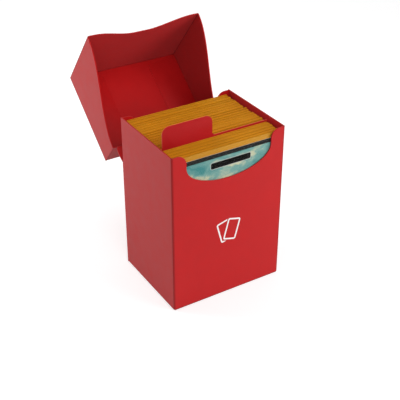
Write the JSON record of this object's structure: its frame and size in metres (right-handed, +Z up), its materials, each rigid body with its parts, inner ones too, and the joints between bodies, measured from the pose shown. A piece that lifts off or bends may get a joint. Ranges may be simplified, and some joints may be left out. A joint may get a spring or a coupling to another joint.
{
  "type": "card deck box",
  "caption": "Flip-top folded plastic deck box with a thumb notch, a cap lid on a two-crease hinge, a tabbed divider and two stacks of sleeved trading cards.",
  "frame": {"origin": "middle of the box's footprint, on the surface that it stands on", "axes": "+Z up the box, +X to the right seen from the front, +Y to the back, where the lid folds"},
  "size_m": [0.0732, 0.1226, 0.1336],
  "materials": {
    "red_sheet": "fine matte polypropylene sheet",
    "divider_sheet": "fine matte polypropylene sheet",
    "white_foil": "white stamped foil",
    "gold_sleeve": "matte gold film",
    "sleeved_cards": "cards in sleeves with a matte gold back film",
    "clear_film": "clear film",
    "printed_card": "printed card with a smooth varnish"
  },
  "bodies": {
    "root": {"front_panel": "red_sheet", "left_panel": "red_sheet", "right_panel": "red_sheet", "inner_back_panel": "red_sheet", "outer_back_panel": "red_sheet", "seam_tab_left": "red_sheet", "seam_tab_right": "red_sheet", "bottom_panel": "red_sheet", "bottom_flap_left": "red_sheet", "bottom_flap_right": "red_sheet", "inner_bottom_panel": "red_sheet", "front_mark": "white_foil"},
    "link": {"hinge_link": "red_sheet"},
    "lid": {"lid_top_panel": "red_sheet", "lid_rear_strip": "red_sheet", "lid_front_flap": "red_sheet", "lid_side_left": "red_sheet", "lid_side_right": "red_sheet", "lid_tab_left": "red_sheet", "lid_tab_right": "red_sheet"},
    "divider": {"divider": "divider_sheet"},
    "front_cards": {"front_cards": "sleeved_cards"},
    "rear_cards": {"rear_cards": "sleeved_cards"},
    "show_card": {"show_sleeve_front": "clear_film", "show_sleeve_back": "gold_sleeve", "show_card": "printed_card"}
  },
  "joints": [
    {"name": "link_fold", "type": "hinge", "parent": "root", "child": "link", "pos_m": [0, 0.028, 0.0695], "axis": [-1, 0, 0], "range_deg": [-65, 25]},
    {"name": "lid_fold", "type": "hinge", "parent": "link", "child": "lid", "pos_m": [0, 0.03833, 0.07432], "axis": [-1, 0, 0], "range_deg": [-75, 30]},
    {"name": "divider_lift", "type": "slide", "parent": "root", "child": "divider", "axis": [0, 0, 1], "range_m": [-0.011, 0.1]},
    {"name": "front_cards_lift", "type": "slide", "parent": "root", "child": "front_cards", "axis": [0, 0, 1], "range_m": [0, 0.1]},
    {"name": "rear_cards_lift", "type": "slide", "parent": "root", "child": "rear_cards", "axis": [0, 0, 1], "range_m": [0, 0.1]},
    {"name": "show_card_lift", "type": "slide", "parent": "root", "child": "show_card", "axis": [0, 0, 1], "range_m": [0, 0.1]}
  ]
}
